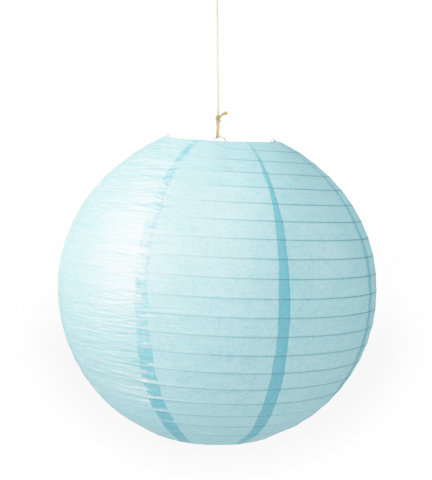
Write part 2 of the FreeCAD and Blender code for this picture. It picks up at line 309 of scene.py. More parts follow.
def seam_edge(k, side, t):
    """Direction in degrees of one edge of seam k, irregular as a hand-laid overlap is."""
    seam = k % GORES
    x, y = seam * PERIOD / GORES + 31.0 * (1 if side > 0 else 2), sheet_y(t)
    wobble = 0.65 * edge_coarse(x, y) + 0.35 * edge_fine(x, y)
    shift = 0.7 * edge_coarse(seam * 97.0, y * 0.45 + 40)
    if seam in SEAM_SHIFT:
        shift = shift + np.interp(t, *SEAM_SHIFT[seam])
    if seam == FRONT_LEFT:
        shift = (shift - 1.8 * np.cos(np.radians(t)) - 1.6 * bell(t, 16, 14.0)
                 + 1.8 * ease(t, 45, 15))
        loose = ease(t, -4, 8) * ease(t, 50, -10)
        wobble = (wobble * (1 + 1.3 * loose)
                  + 1.5 * loose * edge_fine(3.1 * x, 2.6 * y + 11.0))
    reach = side * (half_strip(k, t) + wobble) + shift
    return k * GORE_ANGLE + np.degrees(reach / radius_at(t))


def seam_strength(k, t):
    """How strongly the double layer of seam k shows; the left front seam is loose and pale."""
    seam = k % GORES
    strength = np.interp(t, *SEAM_SHADE.get(seam, SEAM_SHADE[None]))
    if seam == FRONT_LEFT:
        banding = 0.16 * seam_bands(55.0, sheet_y(t)) * ease(t, -50, 20)
        return np.clip(strength + banding, 0.08, 1.0)
    return strength


def uncovered(phi, t, above):
    """Factor for the left front seam: folds over the wire lift the upper layer and pale it."""
    width = np.interp(t, [-62, -45, -25], [1.0, 2.2, 2.8])
    bare = np.interp(t, [-66, -58, -50, -40, -22, -12, 0], [0.1, 0.45, 0.85, 1.0, 1.0, 0.75, 0.3])
    bare = bare * np.clip(1.0 + 0.35 * patches(sheet_x(phi) + 40, sheet_y(t)), 0.7, 1.0)
    return 1 - bare * bell(above, 1.3 * width, width)


# ---------------------------------------------------------------- creases
# (seam, side): count, height, shortest, longest, spread of angle in degrees
CREASE_STYLE = {
    (FRONT_LEFT, -1): (330, 1.0, 24.0, 122.0, 4.2),
    (FRONT_LEFT, 1): (110, 0.75, 8.0, 40.0, 11.0),
    (FAR_LEFT, 1): (60, 0.6, 15.0, 70.0, 8.0),
    None: (22, 0.34, 9.0, 40.0, 9.0),
}
# marked creases by the left front seam: side, start, y, angle, bend, length, width, height
MARKED_CREASES = [
    (1, -7.0, 116.0, -13.0, 0.0, 32.0, 1.3, -0.8), (-1, -5.0, 119.0, 9.0, 0.0, 60.0, 1.7, 0.8),
    (-1, -4.0, 22.0, -24.0, 0.002, 17.0, 1.6, -0.8), (-1, -4.0, 27.0, 3.0, 0.0, 70.0, 1.6, 0.55),
    (-1, -6.0, -26.0, -17.0, 0.001, 38.0, 1.4, -0.6), (1, -5.0, 66.0, 5.0, 0.0, 40.0, 1.5, -0.45),
    (-1, -4.0, 161.0, 2.0, 0.0, 66.0, 1.5, 0.8), (-1, -3.0, 141.0, 6.0, 0.0, 62.0, 1.8, 0.85),
    (-1, -4.0, -98.0, 13.0, -0.0006, 75.0, 1.5, 1.0),
    (-1, -4.0, -121.0, 10.0, -0.0006, 90.0, 1.5, 0.9),
]
# curved creases right of the left front seam: (across, up) from the seam at the equator,
# then width and height
ARCS = [
    ([(12, 141), (22, 134), (29, 124), (31, 113), (27, 103)], 1.6, 0.22),
    ([(8, 128), (16, 122), (22, 113)], 1.2, -0.25),
    ([(7, 104), (17, 96), (30, 90), (41, 90)], 1.4, -0.32),
    ([(8, -28), (18, -34), (26, -44), (29, -55)], 1.5, 0.35),
    ([(18, -60), (27, -72), (31, -84)], 1.4, 0.35),
    ([(9, 58), (19, 61), (30, 58)], 1.4, 0.3),
]
CREASE_R = 198.0                     # radius used for heights in the crease tables


def make_creases():
    """Per seam, the creases that start at it, with the columns of MARKED_CREASES."""
    random = np.random.RandomState(77)
    table = {}
    for k in range(GORES):
        table[k] = []
        for side in (-1, 1):
            count, size, shortest, longest, spread = CREASE_STYLE.get(
                (k, side), CREASE_STYLE[None])
            pins = random.uniform(-205, 212, max(4, count // 6))
            for _ in range(count):
                y_start = pins[random.randint(len(pins))] + random.normal(0, 3.2)
                mean = float(np.interp(y_start, [-180, -20, 30, 130], [6.0, -4.0, 3.0, 6.0]))
                angle = float(np.clip(random.normal(mean, spread), -27, 27))
                length = random.uniform(shortest, longest) * (0.55 if abs(angle) > 14 else 1.0)
                bend = random.normal(0, 0.0003)
                width = random.uniform(0.7, 1.6)
                height = size * random.uniform(0.12, 0.42) * (
                    1.0 if random.rand() < 0.55 else -0.9)
                if y_start < -150 or y_start > 175:
                    height *= 0.55
                start = random.uniform(-6.5, 3.0)
                table[k].append((side, start, y_start, angle, bend, length, width, height))
    table[FRONT_LEFT] += MARKED_CREASES
    return table


CREASES = make_creases()


def crease_relief(k, phi, t):
    """Height of the creases of seam k at these points, and the signed strength of their painted
    highlight and shade.
    """
    across, up = from_seam(k, phi, t), CREASE_R * np.radians(t)
    total = np.zeros(t.shape)
    strength = np.zeros(t.shape)
    for side, start, y_start, angle, bend, length, width, height in CREASES[k % GORES]:
        cos, sin = math.cos(math.radians(angle)), math.sin(math.radians(angle))
        along = (side * across - start) / cos
        near = (along > 0) & (along < length) & (np.abs(up - y_start) < abs(sin) * length + 12.0)
        if not near.any():
            continue
        along = along[near]
        spread = width * (0.65 + 0.7 * along / length)
        offset = (up[near] - y_start - along * sin - bend * along * along) * cos
        fade = ease(along, 0.0, 7.0) * (1 - ease(along / length, 0.2, 0.8))
        shape = bell(offset, 0.0, spread) * fade
        total[near] += height * shape
        strength[near] += math.copysign(1.0, height) * shape * min(1.0, abs(height) / 0.4)
    if k % GORES == FRONT_LEFT:
        for points, width, height in ARCS:
            nearest = np.full(t.shape, 99.0)
            for (xa, ya), (xb, yb) in zip(points[:-1], points[1:]):
                dx, dy = xb - xa, yb - ya
                share = ((across - xa) * dx + (up - ya) * dy) / (dx * dx + dy * dy)
                share = np.clip(share, 0, 1)
                nearest = np.minimum(
                    nearest, np.hypot(across - xa - share * dx, up - ya - share * dy))
            ends = np.minimum(*(np.hypot(across - x, up - y) for x, y in (points[0], points[-1])))
            shape = bell(nearest, 0.0, width) * ease(ends, -1.5, 6.0)
            total += height * shape
            strength += math.copysign(min(0.6, 1.6 * abs(height)), height) * shape
    return total, strength


# ---------------------------------------------------------------- relief of the paper
def wrinkle_gain(phi, t):
    """How crinkled the paper is: most on the gore left of the left front seam, and by it."""
    azimuth = rel_az(phi)
    left = ease(azimuth, -78, 12) * ease(azimuth, -19, -5)
    gain = 0.20 + 0.85 * left * (0.55 + 0.45 * ease(t, -62, 30))
    gain = gain + 0.42 * bell(azimuth, -16, 8.0) * ease(t, 62, -12) * ease(t, -60, 20)
    for k in range(GORES):
        gain = gain + 0.14 * bell(wrap180(phi - k * GORE_ANGLE), 0.0, 3.2)
    return gain + 0.22 * ease(np.abs(azimuth), 95, 30)


def blend_ends(u, value, at_top, at_bottom):
    """Run a value along the rib up to its ring value at each end."""
    value = np.where(u < RIB_FROM + RIB_RAMP,
                     at_top + (value - at_top) * ease(u, RIB_FROM, RIB_RAMP), value)
    return np.where(u > RIB_TO - RIB_RAMP,
                    at_bottom + (value - at_bottom) * ease(u, RIB_TO, -RIB_RAMP), value)


def ribbed_t(u):
    """Shade angle at which the paper meets the rib at turn u."""
    t = t_of_u(u)
    t = t + 0.5 * ease(t, 4.0, -14.0) * ease(t, -66.0, 10.0) + 0.55 * bell(t, -49.0, 9.0)
    return blend_ends(u, t, T_RING, -T_RING)


def hook_lift(phi, t):
    """The paper is held up where the expander's hooks lift the top ring."""
    offset = np.minimum(np.abs(wrap180(phi)), np.abs(wrap180(phi - 180.0)))
    dip = 1.0 - 0.85 * bell(rel_az(phi), 3.0, 24.0)
    reach = 16.0
    near_ring = np.clip((t - (T_RING - reach)) / reach, 0.0, 1.0) ** 0.9
    return (2.0 * bell(offset, 0.0, 10.0) + 2.4 * bell(offset, 0.0, 34.0)
            + 1.2 * dip) * near_ring


def band_place(phi, t):
    """Share of the band below its upper wire, its span in degrees, and if it meets a ring."""
    turn = (phi - RIB_PHI0) / 360.0
    n = np.floor(u_of_t(t) - turn)
    n = np.where(t < ribbed_t(n + 1 + turn), n + 1, n)
    n = np.where(t > ribbed_t(n + turn), n - 1, n)
    upper = ribbed_t(n + turn)
    span = upper - ribbed_t(n + 1 + turn)
    below = np.clip((upper - t) / np.maximum(span, 0.4), 0, 1)
    return below, span, n + turn < RIB_FROM + 0.01, n + 1 + turn > RIB_TO - 0.01


def relief(phi, t, below, span, from_ring, seams):
    """Outward offset of the paper from the smooth shade, and its painted highlight (+) or painted
    shade (-).
    """
    x, y = sheet_x(phi), sheet_y(t)
    azimuth = rel_az(phi)
    gain = wrinkle_gain(phi, t)
    # pulled nearly straight between the ribs
    hump = 4 * below * (1 - below)
    chord = 197.0 * (1 - np.cos(np.radians(span) / 2))
    slack = (0.22 + 0.16 * sag(x + 300, y)) * np.minimum(1.0, sheet_y(span) / 18.0)
    lower_left = ease(azimuth, 0.0, -30.0) * ease(t, -24.0, -14.0)
    out = -(chord + slack) * hump * np.where(from_ring, 0.35, 1.0) * (1.0 - 0.5 * lower_left)
    # crinkles run across the bands
    warped = y + 2.6 * warp_coarse(x, y) + 0.8 * warp_fine(x, y)
    coarse = 1 - 2.2 * np.abs(crinkle_coarse(x, warped))
    fine = 1 - 2.2 * np.abs(crinkle_fine(x + 17, warped + 9))
    pinned = 0.30 + 0.70 * hump ** 0.7
    out = out + pinned * gain * (0.34 * np.maximum(coarse, -0.6) + 0.22 * np.maximum(fine, -0.6))
    out = out + 0.16 * pinned * crumple(x, y) * (0.6 + gain)
    out = out + 0.45 * swell(x, y)
    # a ridge of gathered paper just above the wire, raised and given a painted highlight
    above = (1 - below) * sheet_y(span)
    ridge = ease(azimuth, -60, 18) * ease(azimuth, 10, -26) * np.interp(
        t, [-64, -55, -25, -5, 20, 50, 62], [0.6, 1.0, 1.0, 0.6, 0.65, 0.95, 0.5])
    ridge = ridge * np.clip(0.75 + 0.9 * patches(x, y), 0.1, 1.3) * bell(above, 1.9, 1.05)
    # painted shade across each band on the lower left: lighter just below the upper wire, darker
    # towards the lower one
    painted_band_shade = ease(azimuth, -82, 14) * ease(azimuth, -18, -10) * ease(t, 12, -24)
    out = out + (0.28 + 0.14 * ease(t, 5, 20) + 0.14 * ease(t, -20, -12)) * ridge
    folds = 1.0 * ridge + 0.55 * painted_band_shade * (0.5 - below)
    # each crease adds a painted highlight on its crest and painted shade in its valley
    for k in seams:
        height, strength = crease_relief(k, phi, t)
        out = out + pinned * height
        folds = folds + strength * (1.0 - 0.7 * ease(t, -28.0, -14.0))
    # puckers in the left front seam, raised, with painted highlight and shade
    zone = ease(np.abs(from_seam(FRONT_LEFT, phi, t)), 11.0, -6.0) * (
        0.35 + 0.65 * ease(t, -10, 14) * ease(t, 50, -14))
    coarse, fine = 1 - 2.4 * np.abs(pucker_coarse(x, y)), pucker_fine(x, y)
    out = out + zone * (0.42 * np.maximum(coarse, -0.5) + 0.20 * fine)
    folds = folds + zone * (0.50 * np.maximum(coarse, -0.8) + 0.20 * fine)
    # calmer at the rings
    inside = ease(np.abs(t), T_RING, -2.0)
    out = out * (0.15 + 0.85 * inside) + 0.3 * (1 - inside) * radial_wave(x, y)
    return out, folds


def wire_shadow_strength(phi, t):
    """How strongly the painted shade of the wire shows through the paper: stronger to the right,
    fainter on the lit left and in a patch at the upper front.
    """
    azimuth = rel_az(phi)
    strength = 0.66 + 0.34 * ease(azimuth, -8, 32) + 0.16 * patches(sheet_x(phi), sheet_y(t))
    left = ease(azimuth, -82, 12) * ease(azimuth, -18, -8)
    strength = strength * (1 - left * np.interp(
        t, [-60, -45, -25, -8, 12, 62, 68], [0.45, 0.5, 0.58, 0.74, 0.9, 0.86, 0.7]))
    pale = ease(azimuth, -26, 5) * ease(azimuth, 6, -24) * ease(t, -4, 26)
    return strength * (1 - 0.6 * pale)


# ---------------------------------------------------------------- materials
class Shader:
    """A new material's node tree, with short calls for the nodes the surfaces share."""

    def __init__(self, name):
        self.material = bpy.data.materials.new(name)
        self.material.use_nodes = True
        self.tree = self.material.node_tree
        self.tree.nodes.clear()
        self.output = self.node("OutputMaterial")

    def node(self, kind, inputs=None, **settings):
        """A node; an input given as a socket is linked, anything else is its value."""
        node = self.tree.nodes.new("ShaderNode" + kind)
        for key, value in settings.items():
            setattr(node, key, value)
        for key, value in (inputs or {}).items():
            if isinstance(value, bpy.types.NodeSocket):
                self.tree.links.new(value, node.inputs[key])
            else:
                node.inputs[key].default_value = value
        return node

    def finish(self, surface):
        self.tree.links.new(surface.outputs[0], self.output.inputs["Surface"])
        return self.material

    def attribute(self, name, output="Fac"):
        return self.node("Attribute", attribute_name=name).outputs[output]

    def object_coords(self):
        return self.node("TexCoord").outputs["Object"]

    def noise(self, vector, scale, detail, roughness):
        return self.node("TexNoise", {"Vector": vector, "Scale": scale, "Detail": detail,
                                      "Roughness": roughness}).outputs["Fac"]

    def streaks(self, vector, angle, length, width):
        """Noise stretched along one direction of the sheet."""
        mapping = self.node("Mapping", {"Vector": vector, "Rotation": (0, 0, angle),
                                        "Scale": (length, width, 1)}, vector_type="TEXTURE")
        return self.noise(mapping.outputs[0], scale=1.0, detail=2.0, roughness=0.5)

    def ramp(self, value, span, to=(0.0, 1.0), kind="SMOOTHSTEP"):
        return self.node("MapRange", {"Value": value, "From Min": span[0], "From Max": span[1],
                                      "To Min": to[0], "To Max": to[1]},
                         interpolation_type=kind).outputs["Result"]

    def math(self, operation, value, by, clamp=False):
        return self.node("Math", {0: value, 1: by}, operation=operation,
                         use_clamp=clamp).outputs[0]

    def times(self, value, by, clamp=False):
        return self.math("MULTIPLY", value, by, clamp)

    def plus(self, value, other):
        return self.math("ADD", value, other)

    def mix(self, amount, under, over):
        return self.node("Mix", {0: amount, 6: under, 7: over}, data_type="RGBA",
                         blend_type="MIX").outputs[2]

    def bump(self, height, strength, distance):
        return self.node("Bump", {"Height": height, "Strength": strength,
                                  "Distance": distance}).outputs["Normal"]


def paper_material():
    shader = Shader("rice_paper")
    ramp, mix, times, plus = shader.ramp, shader.mix, shader.times, shader.plus
    flat = shader.attribute("flat", "Vector")
    crease = shader.attribute("crease")
    fold = shader.attribute("fold")
    # pale: the colour of the fibres, and of the painted highlight on the pleats' crests
    pale = srgb(208, 242, 244)
    # cloudy formation of the sheet, in two scales
    cloud = shader.noise(flat, scale=0.075, detail=4.0, roughness=0.6)
    cloud_fine = shader.noise(flat, scale=0.38, detail=3.0, roughness=0.65)
    # long fibres in three directions: angle, then waves per mm along and across
    fibres = None
    for angle, along, across in ((0.25, 0.10, 1.9), (1.35, 0.12, 2.2), (2.35, 0.09, 1.7)):
        fibre = ramp(shader.streaks(flat, angle, 1 / along, 1 / across), span=(0.60, 0.74))
        fibres = fibre if fibres is None else shader.math("MAXIMUM", fibres, fibre)
    # fine pleats along the bands, bent a little by the cloud noise
    warp = shader.node("CombineXYZ", {1: times(cloud, by=5.0)})
    bent = shader.node("VectorMath", {0: flat, 1: warp.outputs[0]}, operation="ADD").outputs[0]
    long_pleats = shader.streaks(bent, angle=0.03, length=56.0, width=3.1)
    short_pleats = shader.streaks(bent, angle=-0.10, length=32.0, width=2.1)
    pleats = plus(times(long_pleats, by=0.6), times(short_pleats, by=0.4))
    colour = mix(ramp(cloud, span=(0.38, 0.62)), srgb(168, 231, 238), srgb(148, 222, 231))
    colour = mix(times(ramp(cloud_fine, span=(0.41, 0.61)), by=0.9), colour, srgb(192, 239, 244))
    colour = mix(times(fibres, by=0.40), colour, pale)
    # pleats: painted highlight on the crests and painted shade in the troughs
    crest_highlight = times(ramp(pleats, span=(0.51, 0.61)), times(crease, by=0.62))
    trough_shade = times(ramp(pleats, span=(0.48, 0.38)), times(crease, by=0.60))
    colour = mix(shader.math("MINIMUM", crest_highlight, 1.0), colour, pale)
    colour = mix(shader.math("MINIMUM", trough_shade, 1.0), colour, srgb(152, 217, 229))
    # painted highlight on raised folds and ridges, painted shade in the creases' valleys
    colour = mix(ramp(fold, span=(0.05, 1.0), to=(0.0, 0.62)), colour, srgb(218, 245, 247))
    colour = mix(ramp(fold, span=(-0.05, -1.0), to=(0.0, 0.75)), colour, srgb(126, 206, 222))
    # the double layer at a seam, uneven where it is loose
    seam = shader.attribute("seam")
    seam_strength_in = shader.attribute("seamk")
    vary = ramp(cloud_fine, span=(0.25, 0.75), to=(0.80, 1.0))
    marks = ramp(shader.noise(flat, scale=0.24, detail=2.5, roughness=0.6),
                 span=(0.43, 0.58), to=(0.45, 1.35))
    whole = ramp(seam_strength_in, span=(0.48, 0.66))
    vary = times(vary, shader.math("MAXIMUM", whole, marks))
    double = times(times(ramp(seam, span=(-0.55, 0.75)), vary), seam_strength_in, clamp=True)
    colour = mix(double, colour, srgb(82, 197, 218))
    # painted highlight and painted shade on the folds of the loose seam
    loose = times(ramp(seam, span=(-0.35, 0.45)), ramp(seam_strength_in, span=(0.9, 0.5)))
    colour = mix(times(loose, ramp(fold, span=(0.1, 0.8), to=(0.0, 0.45))),
                 colour, srgb(214, 244, 247))
    colour = mix(times(loose, ramp(fold, span=(-0.1, -0.8), to=(0.0, 0.6))),
                 colour, srgb(104, 194, 214))
    # a stronger painted highlight on the highest ridges
    colour = mix(ramp(fold, span=(0.55, 1.2), to=(0.0, 0.55)), colour, srgb(212, 246, 250))
    # painted shade of the wire behind the paper: a core and a wider halo
    rib = shader.attribute("rib")
    core = ramp(rib, span=(0.30, 1.15), to=(0.76, 0.0))
    halo = ramp(rib, span=(0.2, 2.6), to=(0.13, 0.0))
    wire_shadow_shows = shader.attribute("ribk")
    mask = times(shader.math("MAXIMUM", core, halo), wire_shadow_shows, clamp=True)
    colour = mix(mask, colour, mix(double, srgb(52, 157, 171), srgb(40, 140, 164)))
    # fine relief
    grain = shader.noise(flat, scale=1.4, detail=3.0, roughness=0.6)
    height = plus(times(fibres, by=0.06), times(cloud_fine, by=0.14))
    height = plus(height, times(grain, by=0.07))
    height = plus(height, times(times(pleats, crease), by=2.4))
    normal = shader.bump(height, strength=1.0, distance=0.0006)
    surface = shader.node("BsdfPrincipled", {"Base Color": colour, "Normal": normal, "IOR": 1.8,
                                             "Roughness": 0.42, "Specular IOR Level": 1.0})
    glow = shader.node("BsdfTranslucent", {"Color": colour, "Normal": normal})
    translucency = 0.42
    return shader.finish(shader.node(
        "MixShader", {0: translucency, 1: surface.outputs[0], 2: glow.outputs[0]}))


def jute_material():
    shader = Shader("jute_twine")
    ramp, mix = shader.ramp, shader.mix
    coords = shader.object_coords()
    tone = shader.attribute("tone")
    blotches = shader.noise(coords, scale=260.0, detail=3.0, roughness=0.6)
    stretched = shader.node("Mapping", {"Vector": coords, "Scale": (2200, 2200, 320)})
    fibres = shader.noise(stretched.outputs[0], scale=1.0, detail=3.0, roughness=0.6)
    colour = mix(ramp(blotches, span=(0.3, 0.7)), srgb(200, 168, 98), srgb(228, 204, 146))
    colour = mix(ramp(fibres, span=(0.35, 0.7), to=(0.0, 0.7)), colour, srgb(160, 126, 62))
    # tone: pale above zero, dark below
    colour = mix(ramp(tone, span=(-0.4, 1.0), to=(0.0, 0.8)), colour, srgb(240, 224, 184))
    colour = mix(ramp(tone, span=(-0.2, -1.4), to=(0.0, 0.85), kind="LINEAR"),
                 colour, srgb(122, 98, 30))
    # painted light: paler above the tie, where the twine is more strongly lit
    height = shader.node("SeparateXYZ", {0: coords}).outputs["Z"]
    upper = ramp(height, span=((Z_TOP + 38) * MM, (Z_TOP + 52) * MM), to=(0.0, 0.62))
    colour = mix(upper, colour, srgb(243, 228, 198))
    return shader.finish(shader.node("BsdfPrincipled", {
        "Base Color": colour, "Normal": shader.bump(fibres, strength=0.7, distance=0.0002),
        "Roughness": 0.85, "Specular IOR Level": 0.25, "Sheen Weight": 0.4}))


def wire_material(name, dark, light, roughness, metallic):
    shader = Shader(name)
    coords = shader.object_coords()
    fine = shader.noise(coords, scale=420.0, detail=4.0, roughness=0.6)
    broad = shader.noise(coords, scale=60.0, detail=3.0, roughness=0.5)
    speck = tuple(0.55 * channel for channel in dark[:3]) + (1.0,)
    colour = shader.mix(shader.ramp(broad, span=(0.35, 0.65)), dark, light)
    colour = shader.mix(shader.ramp(fine, span=(0.55, 0.75), to=(0.0, 0.35)), colour, speck)
    rough = shader.ramp(fine, span=(0.3, 0.7), to=(roughness - 0.08, roughness + 0.16))
    return shader.finish(shader.node("BsdfPrincipled", {
        "Base Color": colour, "Roughness": rough, "Metallic": metallic,
        "Normal": shader.bump(fine, strength=0.25, distance=0.00005)}))


PAPER = paper_material()
JUTE = jute_material()
STEEL = wire_material("drawn_steel_wire", dark=srgb(92, 85, 93), light=srgb(138, 130, 138),
                      roughness=0.32, metallic=1.0)
RING_COAT = wire_material("coated_ring_wire", dark=srgb(176, 186, 186),
                          light=srgb(214, 222, 220), roughness=0.45, metallic=0.4)


# ---------------------------------------------------------------- paper gores
def sheet_object(name, outer, inner, attrs):
    """A closed thin sheet from two matching grids (rows x columns x 3)."""
    rows, columns = outer.shape[:2]
    count = rows * columns
    verts = np.concatenate([outer.reshape(-1, 3), inner.reshape(-1, 3)]) * MM
    index = np.arange(count).reshape(rows, columns)
    a, b, c, d = index[:-1, :-1], index[:-1, 1:], index[1:, 1:], index[1:, :-1]
    outside = np.stack([a, d, c, b], -1).reshape(-1, 4)
    inside = np.stack([a, b, c, d], -1).reshape(-1, 4) + count
    border = np.concatenate([index[0, :], index[1:, -1], index[-1, ::-1][1:],
                             index[::-1, 0][1:-1]])
    after = np.roll(border, -1)
    rim = np.stack([border, after, after + count, border + count], -1)
    faces = np.concatenate([outside, inside, rim]).tolist()
    doubled = {key: np.concatenate([grid.reshape(-1, *grid.shape[2:])] * 2)
               for key, grid in attrs.items()}
    return mesh_object(name, verts, faces, PAPER, doubled)


def gore_piece(i):
    """One paper gore with rib ridges, chord-straight bands and crinkles."""
    depth = 0.05 if i % 2 == 1 else 0.36           # odd gores lie outside the even ones
    finer = i in (FRONT_LEFT - 1, FRONT_LEFT)
    row_count, column_count = (21, 104) if finer else (9, 76)
    # row positions inside one band, closer together by the wire
    band_rows = np.concatenate([[0.0, 0.026, 0.06], np.linspace(0.10, 0.90, row_count),
                                [0.94, 0.974]])
    rows = [(b, s) for b in range(BANDS) for s in band_rows] + [(BANDS - 1, 1.0)]
    band, share = (column[:, None] for column in np.array(rows).T)
    phi_mid = (i + 0.5) * GORE_ANGLE
    phi_base = RIB_PHI0 + wrap180(phi_mid - RIB_PHI0)      # branch of phi used in this gore
    branch = phi_base - phi_mid
    t_edge = T_RING - EDGE_TRIM
    across = np.linspace(0, 1, column_count)[None, :]
    phi = phi_base + (across - 0.5) * GORE_ANGLE
    # the seams depend on t and the bands on phi, so both are settled in a few passes
    for _ in range(3):
        turn = (phi - RIB_PHI0) / 360.0
        upper = np.where(band == 0, t_edge, t_of_u(band - 1 + turn))
        lower = np.where(band == BANDS - 1, -t_edge, t_of_u(band + turn))
        t = upper + (lower - upper) * share
        left = seam_edge(i, -1, t) + branch
        right = seam_edge(i + 1, 1, t) + branch
        phi = left + (right - left) * across
    below, span, from_ring, to_ring = band_place(phi, t)
    out, folds = relief(phi, t, below, span, from_ring, (i, i + 1))
    band_height = sheet_y(span)
    above = (1 - below) * band_height
    rib = np.minimum(np.where(from_ring, 99.0, below * band_height),
                     np.where(to_ring, 99.0, above))
    radius = on_shade(t, 0.0)[0]
    # distance inside the nearest seam's edge, and that seam's strength
    seam = np.full(t.shape, -50.0)
    seam_shows = np.zeros(t.shape)
    for k in (i, i + 1):
        edge_left, edge_right = (seam_edge(k, side, t) + branch for side in (-1, 1))
        middle = (edge_left + edge_right) / 2
        inside = np.radians((edge_right - edge_left) / 2 - np.abs(phi - middle)) * radius
        strength = seam_strength(k, t)
        if k % GORES == FRONT_LEFT:
            strength = strength * uncovered(phi, t, above)
        seam_shows = np.where(inside > seam, strength, seam_shows)
        seam = np.maximum(seam, inside)
    lift = hook_lift(phi, t)

    def grid(inset):
        r, height = on_shade(t, inset - out)
        angle = np.radians(phi)
        return np.stack([r * np.cos(angle), r * np.sin(angle), Z_MID + height + lift], -1)

    flat = np.stack([np.radians(phi) * radius, sheet_y(t), np.full(t.shape, i * 37.0)], -1)
    # fold carries the painted highlight and shade of ridges, creases and puckers; crease sets the
    # bump and the pleats' painted light; ribk the strength of the wire's painted shade
    return sheet_object(
        "paper_gore_skin_%d" % (i + 1), grid(depth), grid(depth + PAPER_THICK),
        {"rib": np.minimum(rib, 40.0), "seam": seam, "seamk": seam_shows,
         "ribk": wire_shadow_strength(phi, t), "flat": flat,
         "crease": wrinkle_gain(phi, t) * (1.0 - 0.5 * ease(t, -28.0, -16.0)), "fold": folds})


for i in range(GORES):
    fit_collapsing(gore_piece(i), "paper_gore_%d" % (i + 1))


# ---------------------------------------------------------------- paper folded over the rings
def rim_fold(name, sign, body, seed):
    """Paper turned over a ring: from under the gores' ends, round the wire to an inner flap."""
    columns = 420
    phi = np.linspace(0, 360, columns + 1)[:-1]
    x = sheet_x(phi)
    wrap_r = 1.42                    # outer radius of the fold round the wire
    flap_drops = (1.2, 2.6, 4.0, 5.2, 6.0)

    def layer(base):
        profile = []
        for angle in np.linspace(28, 180, 15):
            reach = base + 0.10 * radial_wave(x + seed, angle) * ease(angle, 40, 60)
            profile.append((RING_R + reach * math.cos(math.radians(angle)),
                            reach * math.sin(math.radians(angle))))
        for drop in flap_drops:
            sway = 0.25 * np.abs(radial_wave(x + seed * 2, drop)) * drop / flap_drops[-1]
            profile.append((RING_R - base - sway,
                            -drop * (1 + 0.10 * radial_wave(x + seed, 0.0))))
        lift = hook_lift(phi, T_RING) if sign > 0 else 0.0
        angle = np.radians(phi)
        return np.array([np.stack([r * np.cos(angle), r * np.sin(angle),
                                   Z_MID + sign * (RING_H + height) + lift], -1)
                         for r, height in profile])

    outer, inner = layer(wrap_r), layer(wrap_r - PAPER_THICK)
    rows = len(outer)
    count = rows * columns
    verts = np.concatenate([outer.reshape(-1, 3), inner.reshape(-1, 3)]) * MM
    index = np.arange(count).reshape(rows, columns)
    after = np.roll(index, -1, axis=1)
    # the top fold is open where the expander's end hooks go round the ring
    keep = np.ones(columns, bool)
    if sign > 0:
        for hook in (0.0, 180.0):
            keep &= np.abs(wrap180(phi + 180.0 / columns - hook)) > 1.15
    faces = []

    def bridge(a, b, reverse):
        """A quad from the outer to the inner layer."""
        quad = [a, b, b + count, a + count]
        faces.append(quad[::-1] if reverse else quad)

    for row in range(rows - 1):
        for col in np.flatnonzero(keep):
            a, b, c, d = index[row, col], after[row, col], after[row + 1, col], index[row + 1, col]
            quad = [a, d, c, b] if sign < 0 else [a, b, c, d]
            faces.append(quad)
            faces.append([k + count for k in quad[::-1]])
    for row, flip in ((0, True), (rows - 1, False)):
        for col in np.flatnonzero(keep):
            bridge(index[row, col], after[row, col], flip == (sign > 0))
    for col in np.flatnonzero(keep):
        for neighbour, line, flip in ((col - 1, index[:, col], False),
                                      ((col + 1) % columns, after[:, col], True)):
            if not keep[neighbour]:
                for row in range(rows - 1):
                    bridge(line[row], line[row + 1], flip != (sign > 0))

    along = np.linspace(0, 12, rows)[:, None] + 0 * phi[None, :]
    flat = np.stack([np.radians(phi)[None, :] * RING_R + 0 * along, along + 400 * sign,
                     0 * along], -1)
    seam = np.full(columns, -50.0)
    for k in range(GORES):
        offset = np.radians(np.abs(wrap180(phi - GORE_ANGLE * k))) * RING_R
        seam = np.maximum(seam, half_strip(k, 68.0 * sign) - offset)
    obj = mesh_object(name, verts, faces, PAPER, {
        "flat": np.concatenate([flat.reshape(-1, 3)] * 2), "rib": 40.0,
        "seam": np.tile(seam, 2 * rows), "ribk": 0.0, "seamk": 0.8, "crease": 0.25, "fold": 0.0})
    # drop the vertices that the open places left unused
    cleaned = bmesh.new()
    cleaned.from_mesh(obj.data)
    loose = [vert for vert in cleaned.verts if not vert.link_faces]
    bmesh.ops.delete(cleaned, geom=loose, context="VERTS")
    bmesh.ops.recalc_face_normals(cleaned, faces=cleaned.faces)
    cleaned.to_mesh(obj.data)
    cleaned.free()
    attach(obj, body)


rim_fold("paper_fold_top", sign=1, body="head", seed=5)
rim_fold("paper_fold_bottom", sign=-1, body="bottom", seed=9)


# ---------------------------------------------------------------- tubes and twine
def frames_along(path):
    """Tangents and rotation-minimising normals along a polyline."""
    tangent = np.gradient(path, axis=0)
    tangent /= np.linalg.norm(tangent, axis=1)[:, None]
    start = np.array([0.0, 1.0, 0.0] if abs(tangent[0][1]) < 0.8 else [1.0, 0.0, 0.0])
    normal = np.zeros_like(path)
    for i, forward in enumerate(tangent):
        previous = normal[i - 1] if i else start
        side = previous - forward * previous.dot(forward)
        normal[i] = side / np.linalg.norm(side)
    return tangent, normal, np.cross(tangent, normal)


